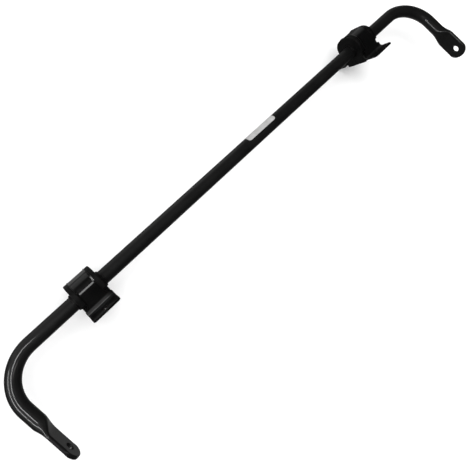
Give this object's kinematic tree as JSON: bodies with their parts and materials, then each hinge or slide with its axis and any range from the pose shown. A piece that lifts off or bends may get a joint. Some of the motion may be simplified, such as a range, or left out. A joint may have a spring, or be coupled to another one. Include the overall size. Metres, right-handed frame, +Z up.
{
  "type": "sway bar",
  "caption": "Tubular sway bar with flattened, drilled link ends, rubber saddle bushings and pressed steel brackets that bolt it to a subframe.",
  "frame": {"origin": "on the bar's axis, half way along its straight section", "axes": "+Y along the straight section towards the right-hand end, +X the way both arms point, +Z up, square to the plane of the arms"},
  "size_m": [0.1956, 1.0558, 0.0994],
  "materials": {
    "bar_paint": "semi-gloss black powder coat",
    "bracket_paint": "gloss black paint over pressed steel",
    "rubber": "moulded black rubber",
    "label": "blank light grey film sticker"
  },
  "bodies": {
    "bar": {"bar": "bar_paint", "label": "label"},
    "left_clamp": {"left_bushing": "rubber", "left_bracket": "bracket_paint"},
    "right_clamp": {"right_bushing": "rubber", "right_bracket": "bracket_paint"}
  },
  "joints": [
    {"name": "left_clamp_turn", "type": "hinge", "parent": "bar", "child": "left_clamp", "pos_m": [0, -0.346, 0], "axis": [0, 1, 0], "continuous": true},
    {"name": "right_clamp_turn", "type": "hinge", "parent": "bar", "child": "right_clamp", "pos_m": [0, 0.346, 0], "axis": [0, 1, 0], "continuous": true}
  ]
}
